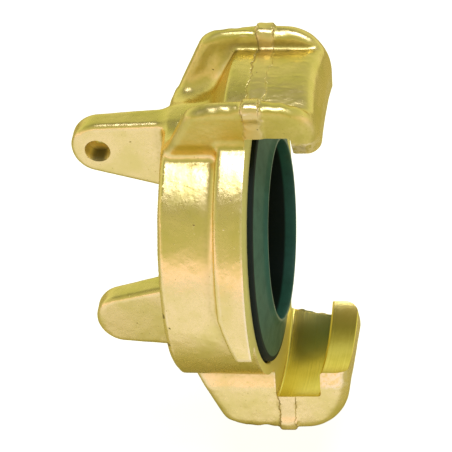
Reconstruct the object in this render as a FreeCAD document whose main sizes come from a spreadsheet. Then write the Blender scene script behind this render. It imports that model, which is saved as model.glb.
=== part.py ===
"""Blank cap of a brass claw hose coupling, with its rubber seal ring.

Lengths are in millimetres and angles in degrees. The X axis is the axis of the coupling and points out
of its mouth, towards the coupling that it is turned on to. The origin is the centre of the machined
front face. +Z runs through the middle of one claw and of the pierced wing above it.
"""
import FreeCAD, Part
import math
import os
import re
import Sketcher
from FreeCAD import Placement, Rotation, Vector

# Driving sizes, each written once, in the sheet's order
SIZES = {
    # Claw interface, which every coupling of the kind shares: the lips turn on a 40 mm circle
    "lip_radius": 20.0,
    "lip_width": 3.65,
    "groove_width": 6.0,
    "groove_depth": 3.4,
    "groove_corner": 0.5,
    "flange_hook": 2.1,
    "flange_thickness": 3.9,
    "flange_edge_bevel": 0.4,
    "flange_angle": 102.4,
    "lead_angle": 18.4,
    "lead_thickness": 2.4,
    # Drum: the closed pot that carries the claws, the flange segments and the wings
    "drum_gap": 0.75,
    "drum_length": 11.7,
    "drum_draft": 0.2,
    "drum_edge_bevel": 0.45,
    "back_wall": 3.4,
    # Seal ring and its seat
    "seat_wall": 1.67,
    "seat_depth": 4.6,
    "seat_undercut": 0.35,
    "undercut_width": 1.6,
    "bore_step": 0.8,
    "seal_clearance": 0.1,
    "seal_width": 5.68,
    "seal_rim": 0.55,
    "seal_lip_reach": 1.85,
    "seal_lip_width": 0.5,
    # Claws: the hooked lips, each with two horns along its ends
    "claw_half_angle": 22.2,
    "end_wall": 0.8,
    "crest_flare": 0.16,
    "crest_width": 2.5,
    "crest_bevel": 0.8,
    "horn_rise": 1.4,
    "horn_batter": 1.2,
    "foot_inset": 0.75,
    "foot_drop": 0.65,
    "rear_run": 4.4,
    "rear_round": 3.0,
    "front_round": 5.6,
    "end_round": 4.0,
    "claw_edge_round": 1.2,
    # Saddle: the hollow between the horns, and the valley that runs down from it
    "saddle_wall": 2.2,
    "saddle_back": 3.3,
    "saddle_run": 2.3,
    "valley_rise": 1.55,
    "valley_run": 3.2,
    "saddle_bevel": 0.9,
    "valley_round": 3.5,
    # Trimmed flash at the parting plane of the forging dies
    "flash_start": 0.2,
    "flash_width": 2.2,
    "flash_proud": 0.4,
    # Wings: the two finger grips behind the drum
    "wing_length": 12.9,
    "wing_root_width": 12.9,
    "wing_root_rise": 0.3,
    "wing_tip_drop": 4.55,
    "wing_tip_radius": 3.85,
    "wing_root_thickness": 4.2,
    "wing_tip_thickness": 3.1,
    "wing_edge_round": 0.6,
    "eye_radius": 1.62,
    "eye_shift": 0.3,
    "eye_drop": 0.15,
}

# Sizes that follow from the driving ones
FOLLOWING = {
    "flange_radius": "lip_radius + flange_hook",
    "groove_radius": "lip_radius + groove_depth",
    "claw_reach": "groove_width + lip_width",
    "lead_length": "flange_radius * sin(lead_angle / 2)",
    "front_radius": "lip_radius - drum_gap",
    "back_radius": "front_radius - drum_draft",
    "root_height": "back_radius / 2",
    "seat_radius": "front_radius - seat_wall",
    "undercut_front": "undercut_width - seat_depth",
    "seal_radius": "seat_radius - seal_clearance",
    "bore_radius": "seal_radius - seal_width",
    "cavity_radius": "bore_radius + bore_step",
    "end_side": "(groove_radius + end_wall) * sin(claw_half_angle)",
    "end_height": "(groove_radius + end_wall) * cos(claw_half_angle)",
    "root_side": "root_height * tan(claw_half_angle)",
    "saddle_radius": "groove_radius + saddle_wall",
    "crest_height": "saddle_radius + horn_rise",
    "crest_outer": "end_side + crest_flare",
    "crest_inner": "crest_outer - crest_width",
    "saddle_side": "crest_inner - horn_batter",
    "rear_foot": "foot_inset - drum_length",
    "crest_start": "rear_foot + rear_run",
    "saddle_start": "crest_start + saddle_back",
    "saddle_foot": "saddle_start - saddle_run",
    "all_length": "drum_length + wing_length + claw_reach",
    "wing_reach": "drum_length + wing_length",
    "wing_root_top": "back_radius + wing_root_rise",
    "wing_tip_height": "back_radius - wing_tip_drop",
}

# Planes that the outlines are drawn on: upright along the axis, across the axis, and level
ALONG = Rotation(Vector(1, 0, 0), 90)
ACROSS = Rotation(Vector(1, 1, 1), 120)
LEVEL = Rotation()

# How closely an edge has to lie to the corner that drew it
SLACK = 0.02

doc = FreeCAD.newDocument("claw_coupling_cap")
sheet = doc.addObject("Spreadsheet::Sheet", "Sizes")
for row, (alias, value) in enumerate(SIZES.items(), start=1):
    sheet.set(f"A{row}", alias)
    sheet.set(f"B{row}", str(value))
    sheet.setAlias(f"B{row}", alias)
doc.recompute()


def in_sheet(text):
    """The expression with each driving size looked up in the sheet and each following one spelled out."""
    def look_up(match):
        name = match.group()
        if name in FOLLOWING:
            return f"({in_sheet(FOLLOWING[name])})"
        return f"Sizes.{name}" if name in SIZES else name
    return re.sub(r"[a-z][a-z_]*", look_up, text)


def bind(item, **sizes):
    """Ties properties of an object to expressions on the sheet's sizes."""
    for name, text in sizes.items():
        item.setExpression(name, in_sheet(text))


def bind_constraint(sketch, constraint, text):
    """Adds a constraint to a sketch, tied to an expression on the sheet's sizes."""
    index = sketch.addConstraint(constraint)
    sketch.setExpression(f"Constraints[{index}]", in_sheet(text))


def outline(name, plane, corners):
    """A closed sketch with straight sides, its corners bound to the sheet."""
    sketch = doc.addObject("Sketcher::SketchObject", name)
    sketch.Placement = Placement(Vector(), plane)
    count = len(corners)
    start = [Rotation(Vector(0, 0, 1), 360.0 * i / count).multVec(Vector(10, 0, 0)) for i in range(count)]
    for i in range(count):
        sketch.addGeometry(Part.LineSegment(start[i], start[(i + 1) % count]), False)
    for i in range(count):
        sketch.addConstraint(Sketcher.Constraint("Coincident", i, 2, (i + 1) % count, 1))
    for i, corner in enumerate(corners):
        for kind, text, at, axis in zip(("DistanceX", "DistanceY"), corner, start[i], (-2, -1)):
            if text == "0":
                sketch.addConstraint(Sketcher.Constraint("PointOnObject", i, 1, axis))
            else:
                bind_constraint(sketch, Sketcher.Constraint(kind, -1, 1, i, 1, at), text)
    return sketch


def turned(name, sketch, angle="360"):
    """The solid that a sketch sweeps about the coupling's axis."""
    solid = doc.addObject("Part::Revolution", name)
    solid.Source = sketch
    solid.Axis = Vector(1, 0, 0)
    solid.Base = Vector()
    solid.Solid = True
    bind(solid, Angle=angle)
    return solid


def pushed(name, sketch, direction, forward, backward="0"):
    """The solid that a sketch makes when it is pushed along a direction."""
    solid = doc.addObject("Part::Extrusion", name)
    solid.Base = sketch
    solid.DirMode = "Custom"
    solid.Dir = direction
    solid.Solid = True
    bind(solid, LengthFwd=forward, LengthRev=backward)
    return solid


def joined(kind, name, *items):
    """A boolean of two or more solids: Part::Cut takes two, the others any number."""
    solid = doc.addObject(kind, name)
    if kind == "Part::Cut":
        solid.Base, solid.Tool = items
    else:
        solid.Shapes = list(items)
    if hasattr(solid, "Refine"):
        solid.Refine = True
    return solid


def rounded(name, base, radius, wanted):
    """Rounds each edge of the base that wanted(edge) picks."""
    doc.recompute()
    picked = [number for number, edge in enumerate(base.Shape.Edges, start=1) if wanted(edge)]
    if not picked:
        raise RuntimeError(f"{name}: no edge to round")
    solid = doc.addObject("Part::Fillet", name)
    solid.Base = base
    solid.Edges = [(number, SIZES[radius], SIZES[radius]) for number in picked]
    return solid


def near(value, target):
    """True where a measured length is the target, within the slack."""
    return abs(value - target) < SLACK


def halfway(edge):
    """The point halfway along an edge."""
    return edge.valueAt((edge.FirstParameter + edge.LastParameter) / 2)


def turned_from(sketch, corner):
    """Picks the edge that a sketch's corner draws when it is turned about the axis."""
    def wanted(edge):
        point = sketch.getPoint(corner, 1)
        middle = halfway(edge)
        return near(middle.x, point.x) and near(math.hypot(middle.y, middle.z), point.y)
    return wanted


def pushed_from(sketch, *corners):
    """Picks the edges that a sketch's corners draw when it is pushed."""
    def wanted(edge):
        ends = [sketch.Placement.inverse().multVec(vertex.Point) for vertex in edge.Vertexes]
        points = [sketch.getPoint(corner, 1) for corner in corners]
        return any(all(near(end.x, point.x) and near(end.y, point.y) for end in ends) for point in points)
    return wanted


# Drum: a pot turned about the axis, closed behind, with a slight draft and a bevel round its back
drum_outline = outline("DrumOutline", ALONG, [
    ("-drum_length", "0"),
    ("0", "0"),
    ("0", "front_radius"),
    ("drum_edge_bevel - drum_length", "back_radius"),
    ("-drum_length", "back_radius - drum_edge_bevel"),
])
drum = turned("Drum", drum_outline)

# Claw: a side profile and an end profile meet in the blank, and its ends are rounded all the way
claw_side = outline("ClawSide", ALONG, [
    ("rear_foot", "root_height"),
    ("claw_reach", "root_height"),
    ("claw_reach", "crest_height"),
    ("crest_start", "crest_height"),
    ("rear_foot", "back_radius - foot_drop"),
])
claw_slab = pushed("ClawSlab", claw_side, Vector(0, 1, 0), "crest_height", "crest_height")
claw_slab_rear = rounded("ClawSlabRear", claw_slab, "rear_round", pushed_from(claw_side, 3))
claw_slab_front = rounded("ClawSlabFront", claw_slab_rear, "front_round", pushed_from(claw_side, 2))
claw_end = outline("ClawEnd", ACROSS, [
    ("-root_side", "root_height"),
    ("root_side", "root_height"),
    ("end_side", "end_height"),
    ("crest_outer", "crest_height"),
    ("-crest_outer", "crest_height"),
    ("-end_side", "end_height"),
])
claw_bar = pushed("ClawBar", claw_end, Vector(1, 0, 0), "all_length", "all_length")
claw_bar_round = rounded("ClawBarRound", claw_bar, "end_round", pushed_from(claw_end, 2, 5))
claw_blank = joined("Part::MultiCommon", "ClawBlank", claw_slab_front, claw_bar_round)


def on_claw_outline(edge):
    """Picks the edges between a claw's ends and its other faces, apart from those of its buried root."""
    box = edge.BoundBox
    in_root = near(box.ZMax, claw_side.getPoint(0, 1).y)
    on_crest = near(box.ZMax, claw_side.getPoint(2, 1).y)
    across = box.YMin < 0 < box.YMax
    lengthwise = near(box.ZMin, box.ZMax) and near(box.YMin, box.YMax)
    return not in_root and not across and (on_crest or not lengthwise)


claw_round = rounded("ClawRound", claw_blank, "claw_edge_round", on_claw_outline)

# Saddle: the hollow between the horns, with a steep back that runs down into the drum
saddle_outline = outline("SaddleOutline", ALONG, [
    ("all_length", "saddle_radius"),
    ("saddle_start + saddle_bevel", "saddle_radius"),
    ("saddle_start - saddle_bevel / 2", "saddle_radius - saddle_bevel"),
    ("saddle_foot", "back_radius + valley_rise"),
    ("saddle_foot - valley_run", "back_radius"),
    ("-all_length", "back_radius"),
    ("-all_length", "2 * crest_height"),
    ("all_length", "2 * crest_height"),
])
saddle_turn = turned("SaddleTurn", saddle_outline)
saddle_turn_round = rounded("SaddleTurnRound", saddle_turn, "valley_round", turned_from(saddle_outline, 3))
saddle_window = outline("SaddleWindow", ACROSS, [
    ("-saddle_side", "back_radius - horn_batter"),
    ("saddle_side", "back_radius - horn_batter"),
    ("crest_inner", "crest_height - crest_bevel"),
    ("crest_inner + crest_bevel + 2 * flash_proud", "crest_height + 2 * flash_proud"),
    ("-crest_inner - crest_bevel - 2 * flash_proud", "crest_height + 2 * flash_proud"),
    ("-crest_inner", "crest_height - crest_bevel"),
])
saddle_bar = pushed("SaddleBar", saddle_window, Vector(1, 0, 0), "all_length", "all_length")
saddle_tool = joined("Part::MultiCommon", "SaddleTool", saddle_turn_round, saddle_bar)
claw = joined("Part::Cut", "Claw", claw_round, saddle_tool)

# Trimmed flash: a narrow land along the dies' parting plane, proud of the horns and of the claw's ends
flash_end = outline("FlashEnd", ACROSS, [
    ("-root_side - flash_proud", "root_height"),
    ("root_side + flash_proud", "root_height"),
    ("end_side + flash_proud", "end_height"),
    ("crest_outer + flash_proud / 2", "crest_height + flash_proud"),
    ("-crest_outer - flash_proud / 2", "crest_height + flash_proud"),
    ("-end_side - flash_proud", "end_height"),
])
flash_bar = pushed("FlashBar", flash_end, Vector(1, 0, 0), "flash_start + flash_width", "-flash_start")
flash_bar_round = rounded("FlashBarRound", flash_bar, "claw_edge_round", pushed_from(flash_end, 3, 4))
flash = joined("Part::Cut", "Flash", flash_bar_round, saddle_tool)

# Flange segment: a turned rim from the claw's middle to its end, thinned there by the lead-in's slope
flange_outline = outline("FlangeOutline", ALONG, [
    ("-flange_thickness", "cavity_radius"),
    ("0", "cavity_radius"),
    ("0", "flange_radius"),
    ("flange_edge_bevel - flange_thickness", "flange_radius"),
    ("-flange_thickness", "flange_radius - flange_edge_bevel"),
])
flange_blank = turned("FlangeBlank", flange_outline, "flange_angle")
lead_outline = outline("LeadOutline", LEVEL, [
    ("-flange_thickness", "lead_length"),
    ("-lead_thickness", "-lead_length"),
    ("-lead_thickness", "-flange_radius"),
    ("-2 * flange_thickness", "-flange_radius"),
    ("-2 * flange_thickness", "lead_length"),
])
lead_tool = pushed("LeadTool", lead_outline, Vector(0, 0, 1), "2 * flange_radius")
bind(lead_tool, **{"Placement.Rotation.Angle": "flange_angle - lead_angle / 2"})
lead_tool.Placement = Placement(Vector(), Rotation(Vector(1, 0, 0), 90))
flange = joined("Part::Cut", "Flange", flange_blank, lead_tool)

# Wing: a tapering plate, round at its tip and thicker at its root
wing_outline = doc.addObject("Sketcher::SketchObject", "WingOutline")
wing_outline.Placement = Placement(Vector(), ALONG)
tip_middle = Vector(-20, 15, 0)
tip_top = tip_middle + Vector(0, SIZES["wing_tip_radius"], 0)
tip_foot = tip_middle - Vector(0, SIZES["wing_tip_radius"], 0)
root_foot = Vector(-5, 5, 0)
root_top = Vector(-5, 20, 0)
tip_circle = Part.Circle(tip_middle, Vector(0, 0, 1), SIZES["wing_tip_radius"])
tip = wing_outline.addGeometry(Part.ArcOfCircle(tip_circle, math.pi / 2, 3 * math.pi / 2), False)
inner = wing_outline.addGeometry(Part.LineSegment(tip_foot, root_foot), False)
root = wing_outline.addGeometry(Part.LineSegment(root_foot, root_top), False)
outer = wing_outline.addGeometry(Part.LineSegment(root_top, tip_top), False)
wing_outline.addConstraint(Sketcher.Constraint("Tangent", tip, 2, inner, 1))
wing_outline.addConstraint(Sketcher.Constraint("Tangent", outer, 2, tip, 1))
wing_outline.addConstraint(Sketcher.Constraint("Coincident", inner, 2, root, 1))
wing_outline.addConstraint(Sketcher.Constraint("Coincident", root, 2, outer, 1))
wing_outline.addConstraint(Sketcher.Constraint("Vertical", root))
for constraint, text in (
        (Sketcher.Constraint("DistanceX", -1, 1, tip, 3, tip_middle.x), "wing_tip_radius - wing_reach"),
        (Sketcher.Constraint("DistanceY", -1, 1, tip, 3, tip_middle.y), "wing_tip_height"),
        (Sketcher.Constraint("Radius", tip, SIZES["wing_tip_radius"]), "wing_tip_radius"),
        (Sketcher.Constraint("DistanceX", -1, 1, root, 1, root_foot.x), "-drum_length / 2"),
        (Sketcher.Constraint("DistanceY", -1, 1, root, 1, root_foot.y), "wing_root_top - wing_root_width"),
        (Sketcher.Constraint("DistanceY", -1, 1, outer, 1, root_top.y), "wing_root_top")):
    bind_constraint(wing_outline, constraint, text)
wing_plate = pushed("WingPlate", wing_outline, Vector(0, 1, 0),
                    "wing_root_thickness", "wing_root_thickness")
wing_plan = outline("WingPlan", LEVEL, [
    ("-wing_reach", "-wing_tip_thickness / 2"),
    ("-drum_length / 2", "-wing_root_thickness / 2"),
    ("-drum_length / 2", "wing_root_thickness / 2"),
    ("-wing_reach", "wing_tip_thickness / 2"),
])
wing_bar = pushed("WingBar", wing_plan, Vector(0, 0, 1), "crest_height")
wing_blank = joined("Part::MultiCommon", "WingBlank", wing_plate, wing_bar)


def on_wing_rim(edge):
    """Picks the edges round the wing's two faces, apart from those of its buried root."""
    box = edge.BoundBox
    in_root = near(box.XMin, wing_outline.getPoint(root, 1).x)
    return not in_root and not box.YMin < 0 < box.YMax


wing = rounded("Wing", wing_blank, "wing_edge_round", on_wing_rim)

# Forging: the drum with a claw, a flange segment and a wing, and the same again half a turn round
one_side = joined("Part::MultiFuse", "OneSide", claw, flash, flange, wing)
other_side = doc.addObject("Part::Compound", "OtherSide")
other_side.Links = [one_side]
other_side.Placement = Placement(Vector(), Rotation(Vector(1, 0, 0), 180))
forging = joined("Part::MultiFuse", "Forging", drum, one_side, other_side)

# Turned front: one pass over the face, the claws' grooves and lips, the seal's seat and the blind cavity
turning_outline = outline("TurningOutline", ALONG, [
    ("all_length", "0"),
    ("all_length", "lip_radius"),
    ("groove_width", "lip_radius"),
    ("groove_width", "groove_radius - groove_corner"),
    ("groove_width - groove_corner", "groove_radius"),
    ("0", "groove_radius"),
    ("0", "seat_radius"),
    ("undercut_front + seal_clearance", "seat_radius"),
    ("undercut_front + seal_clearance", "seat_radius + seat_undercut"),
    ("-seat_depth", "seat_radius + seat_undercut"),
    ("-seat_depth", "cavity_radius"),
    ("back_wall - drum_length", "cavity_radius"),
    ("back_wall - drum_length", "0"),
])
turning = turned("Turning", turning_outline)
turned_body = joined("Part::Cut", "TurnedBody", forging, turning)

# Eye: drilled through the upper wing for a retaining chain
eye_drill = doc.addObject("Part::Cylinder", "EyeDrill")
bind(eye_drill, **{
    "Radius": "eye_radius",
    "Height": "2 * wing_root_thickness",
    "Placement.Base.x": "wing_tip_radius - wing_reach - eye_shift",
    "Placement.Base.y": "wing_root_thickness",
    "Placement.Base.z": "wing_tip_height - eye_drop",
})
eye_drill.Placement = Placement(Vector(), Rotation(Vector(1, 0, 0), 90))
coupling_body = joined("Part::Cut", "CouplingBody", turned_body, eye_drill)
coupling_body.Label = "coupling_body"

# Seal ring: a foot that snaps into the seat's undercut, and a face that rises to its lip
seal_outline = outline("SealOutline", ALONG, [
    ("-seat_depth", "bore_radius"),
    ("-seat_depth", "seal_radius + seat_undercut"),
    ("undercut_front", "seal_radius + seat_undercut"),
    ("undercut_front", "seal_radius"),
    ("seal_rim", "seal_radius"),
    ("seal_lip_reach", "bore_radius + seal_lip_width"),
    ("seal_lip_reach", "bore_radius"),
])
seal_ring = turned("SealRing", seal_outline)
seal_ring.Label = "seal_ring"

doc.recompute()
for item in doc.Objects:
    if "Invalid" in item.State or "Error" in item.State:
        raise RuntimeError(f"{item.Name} did not build: {item.State}")
os.makedirs("parts", exist_ok=True)
for piece in (coupling_body, seal_ring):
    shape = piece.Shape
    if shape.isNull() or not shape.isValid() or len(shape.Solids) != 1:
        raise RuntimeError(f"{piece.Label} is not one valid solid")
    shape.exportStep(f"parts/{piece.Label}.step")
    print(f"{piece.Label}: {shape.Volume:.1f} mm3, {len(shape.Faces)} faces")
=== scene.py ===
"""Looks of the claw coupling's blank cap: a forged brass body turned in front, and its seal.

Lengths in the classes are in millimetres and angles in degrees, as in the part's source, and a mesh
gets metres where it is made. The X axis is the coupling's axis and points out of its mouth, and +Z
runs through the middle of one claw and of the pierced wing.
"""
import logging
import math
from collections.abc import Callable, Iterable, Mapping, Sequence
from dataclasses import dataclass
from enum import Enum

import bpy
import numpy as np
from mathutils import Matrix, Vector

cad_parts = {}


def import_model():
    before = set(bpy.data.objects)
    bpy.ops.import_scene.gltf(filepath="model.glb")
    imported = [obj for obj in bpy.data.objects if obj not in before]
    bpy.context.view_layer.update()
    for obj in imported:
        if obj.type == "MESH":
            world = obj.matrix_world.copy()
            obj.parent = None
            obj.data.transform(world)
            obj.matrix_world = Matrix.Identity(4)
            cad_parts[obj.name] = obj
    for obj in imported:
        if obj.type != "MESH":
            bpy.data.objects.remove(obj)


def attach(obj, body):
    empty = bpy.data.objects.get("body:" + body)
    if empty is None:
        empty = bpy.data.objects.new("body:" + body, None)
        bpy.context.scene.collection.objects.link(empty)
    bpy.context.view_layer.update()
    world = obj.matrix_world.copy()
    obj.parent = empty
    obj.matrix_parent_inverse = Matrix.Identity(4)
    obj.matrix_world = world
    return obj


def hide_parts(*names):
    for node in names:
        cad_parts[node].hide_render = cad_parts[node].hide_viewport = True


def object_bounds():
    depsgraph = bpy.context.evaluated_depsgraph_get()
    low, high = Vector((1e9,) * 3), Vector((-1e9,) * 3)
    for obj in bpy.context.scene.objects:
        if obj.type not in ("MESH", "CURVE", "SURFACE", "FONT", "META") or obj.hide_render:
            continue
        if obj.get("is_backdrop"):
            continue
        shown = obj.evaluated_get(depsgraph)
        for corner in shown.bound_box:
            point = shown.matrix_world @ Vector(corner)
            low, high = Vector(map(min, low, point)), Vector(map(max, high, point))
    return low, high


LOG = logging.getLogger("claw_cap")
MM = 0.001
Array = np.ndarray
Point = tuple[float, float]
Colour = tuple[float, float, float]
Stops = Sequence[tuple[float, Colour]]


# Shader graphs

class Socket:
    """A node's output that takes part in sums: each operator adds a Math node."""

    def __init__(self, graph: "Graph", output: bpy.types.NodeSocket) -> None:
        """Wraps an output of a node in a graph."""
        self.graph = graph
        self.output = output

    def _math(self, operation: str, *values: "Socket | float") -> "Socket":
        """Adds a Math node on the given values."""
        return self.graph.node("ShaderNodeMath", {"operation": operation}, dict(enumerate(values)))

    def __add__(self, other: "Socket | float") -> "Socket":
        """The sum with a number or socket."""
        return self._math("ADD", self, other)

    def __radd__(self, other: float) -> "Socket":
        """The sum with a number on the left."""
        return self._math("ADD", other, self)

    def __sub__(self, other: "Socket | float") -> "Socket":
        """The difference from a number or socket."""
        return self._math("SUBTRACT", self, other)

    def __rsub__(self, other: float) -> "Socket":
        """A number less this value, as in 1 - mask."""
        return self._math("SUBTRACT", other, self)

    def __mul__(self, other: "Socket | float") -> "Socket":
        """The product with a number or socket."""
        return self._math("MULTIPLY", self, other)

    def __rmul__(self, other: float) -> "Socket":
        """The product with a number on the left."""
        return self._math("MULTIPLY", other, self)

    def __pow__(self, other: "Socket | float") -> "Socket":
        """This value to a power."""
        return self._math("POWER", self, other)

    def __neg__(self) -> "Socket":
        """This value with its sign turned."""
        return self._math("MULTIPLY", self, -1.0)

    def size(self) -> "Socket":
        """The value without its sign."""
        return self._math("ABSOLUTE", self)

    def most(self, other: "Socket | float") -> "Socket":
        """The greater of two values."""
        return self._math("MAXIMUM", self, other)

    def span(self, low: float, high: float) -> "Socket":
        """How far the value is from low to high, held to 0 and 1 and eased at both ends.

        Args:
            low: The value that gives 0; it may be above high.
            high: The value that gives 1.

        Returns:
            The eased share.
        """
        if low > high:
            return 1.0 - self.span(high, low)
        inputs = {"Value": self, "From Min": low, "From Max": high, "To Min": 0.0, "To Max": 1.0}
        return self.graph.node("ShaderNodeMapRange", {"interpolation_type": "SMOOTHSTEP"}, inputs)


@dataclass(frozen=True)
class Grain:
    """An even noise: its blotches to a millimetre, and how many and how strong its finer layers.

    It can also be stretched, by how much denser it is along each axis, and twisted.
    """

    per_mm: float
    detail: float = 2.0
    roughness: float = 0.5
    stretch: tuple[float, float, float] = (1.0, 1.0, 1.0)
    twist: float = 0.0


class Graph:
    """The node tree of one material or of the world."""

    def __init__(self, tree: bpy.types.NodeTree) -> None:
        """Starts an empty tree."""
        tree.nodes.clear()
        self.tree = tree

    def node(self, kind: str, settings: Mapping[str, object] | None = None,
             inputs: Mapping[int | str, object] | None = None, output: int | str = 0) -> Socket:
        """Adds any node.

        Args:
            kind: The node's Blender type.
            settings: What is set on the node first; "stops" are a ramp's places and colours.
            inputs: Values or sockets for the node's inputs, by number or name.
            output: The output to return.

        Returns:
            The wanted output.
        """
        node = self.tree.nodes.new(kind)
        for name, value in (settings or {}).items():
            if name == "stops":
                self._set_stops(node.color_ramp.elements, value)
            else:
                setattr(node, name, value)
        for key, value in (inputs or {}).items():
            if isinstance(value, Socket):
                self.tree.links.new(value.output, node.inputs[key])
            else:
                node.inputs[key].default_value = value
        return Socket(self, node.outputs[output] if node.outputs else None)

    @staticmethod
    def _set_stops(elements: bpy.types.ColorRampElements, stops: Stops) -> None:
        """Sets a ramp's places and colours.

        Args:
            elements: The ramp's stops, of which it has two at first.
            stops: Each stop's place, from 0 to 1, and its colour.
        """
        while len(elements) < len(stops):
            elements.new(1.0)
        for element, (place, colour) in zip(elements, stops):
            element.position = place
            element.color = (*colour, 1.0)

    def ramp(self, share: Socket, stops: Stops) -> Socket:
        """The colour that a ramp of stops gives to a share from 0 to 1."""
        return self.node("ShaderNodeValToRGB", {"stops": stops}, {0: share})

    def blend(self, share: "Socket | float", first: "Socket | Colour", second: "Socket | Colour",
              how: str = "MIX") -> Socket:
        """Mixes two colours.

        Args:
            share: How much of the second colour shows.
            first: The colour at a share of 0.
            second: The colour at a share of 1.
            how: The way of blending, such as MIX or MULTIPLY.

        Returns:
            The mixed colour.
        """
        first, second = [c if isinstance(c, Socket) else (*c, 1.0) for c in (first, second)]
        settings = {"data_type": "RGBA", "blend_type": how, "clamp_factor": True}
        factor, first_colour, second_colour, mixed = 0, 6, 7, 2
        inputs = {factor: share, first_colour: first, second_colour: second}
        return self.node("ShaderNodeMix", settings, inputs, mixed)

    def coated(self, colour: Socket,
               *coats: tuple[Socket, Colour] | tuple[Socket, Colour, str]) -> Socket:
        """Lays colours over a first one.

        Args:
            colour: The first colour.
            coats: How much of each colour shows, the colour, and the way of blending if not MIX.

        Returns:
            The colour on top.
        """
        for share, *coat in coats:
            colour = self.blend(share, colour, *coat)
        return colour

    def place(self) -> Socket:
        """The point on the surface in the row frame, in millimetres."""
        inputs = {0: self.node("ShaderNodeTexCoord", output="Object"), "Scale": 1 / MM}
        return self.node("ShaderNodeVectorMath", {"operation": "SCALE"}, inputs)

    def parts(self, vector: Socket) -> tuple[Socket, Socket, Socket]:
        """Splits a vector.

        Args:
            vector: The vector.

        Returns:
            Its three numbers.
        """
        first = self.node("ShaderNodeSeparateXYZ", None, {0: vector})
        return tuple(Socket(self, out) for out in first.output.node.outputs)

    def attribute(self, name: str) -> Socket:
        """A number that the mesh holds for each of its points."""
        settings = {"attribute_type": "GEOMETRY", "attribute_name": name}
        return self.node("ShaderNodeAttribute", settings, output="Fac")

    def noise(self, where: Socket, grain: Grain) -> Socket:
        """Even noise from 0 to 1.

        Args:
            where: The point, in millimetres.
            grain: How fine, rough, stretched and twisted the noise is.

        Returns:
            The noise.
        """
        if grain.stretch != Grain.stretch:
            stretch = {0: where, 1: grain.stretch}
            where = self.node("ShaderNodeVectorMath", {"operation": "MULTIPLY"}, stretch)
        inputs = {"Vector": where, "Scale": grain.per_mm, "Detail": grain.detail,
                  "Roughness": grain.roughness, "Distortion": grain.twist}
        return self.node("ShaderNodeTexNoise", {"noise_dimensions": "3D"}, inputs)

    def cells(self, where: Socket, per_mm: float) -> Socket:
        """The distance to the middle of the nearest of many scattered cells."""
        inputs = {"Vector": where, "Scale": per_mm}
        return self.node("ShaderNodeTexVoronoi", {"feature": "F1"}, inputs)

    def bump(self, height: Socket, depth: float, strength: float = 1.0) -> Socket:
        """The normal that a height from 0 to 1 makes.

        Args:
            height: The height over the surface.
            depth: What a height of 1 stands for, in millimetres.
            strength: How much of the effect shows.

        Returns:
            The bent normal.
        """
        inputs = {"Strength": strength, "Distance": depth * MM, "Height": height}
        return self.node("ShaderNodeBump", None, inputs)


class Surface:
    """A material with one Principled shader: steady values are set, and varying ones are linked."""

    def __init__(self, name: str, **steady: float | tuple[float, ...]) -> None:
        """Makes the material.

        Args:
            name: The material's name.
            steady: Values that are the same all over, with _ for each space in the socket's name.
        """
        self.material = bpy.data.materials.new(name)
        self.material.use_nodes = True
        self.graph = Graph(self.material.node_tree)
        self.shader = self.graph.tree.nodes.new("ShaderNodeBsdfPrincipled")
        self.graph.node("ShaderNodeOutputMaterial", None,
                        {"Surface": Socket(self.graph, self.shader.outputs["BSDF"])})
        for key, value in steady.items():
            self.shader.inputs[key.replace("_", " ")].default_value = value

    def vary(self, **sockets: Socket) -> bpy.types.Material:
        """Links what changes over the surface.

        Args:
            sockets: The shader's inputs, with _ for each space in a name, and what feeds them.

        Returns:
            The material.
        """
        for key, socket in sockets.items():
            self.graph.tree.links.new(socket.output, self.shader.inputs[key.replace("_", " ")])
        return self.material


# Finishes

class Mark(Enum):
    """What the body's mesh holds for each of its points, and its skin reads."""

    # How hollow the skin is; the skin paints shade there.
    CAVITY = "cavity"
    RIDGE = "ridge"
    FLASH = "flash"
    PARTING = "parting"
    RIM = "rim"
    SADDLE = "saddle"
    # The upper claw's ends, which the skin paints darker as shade.
    SHADED = "shaded"


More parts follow.
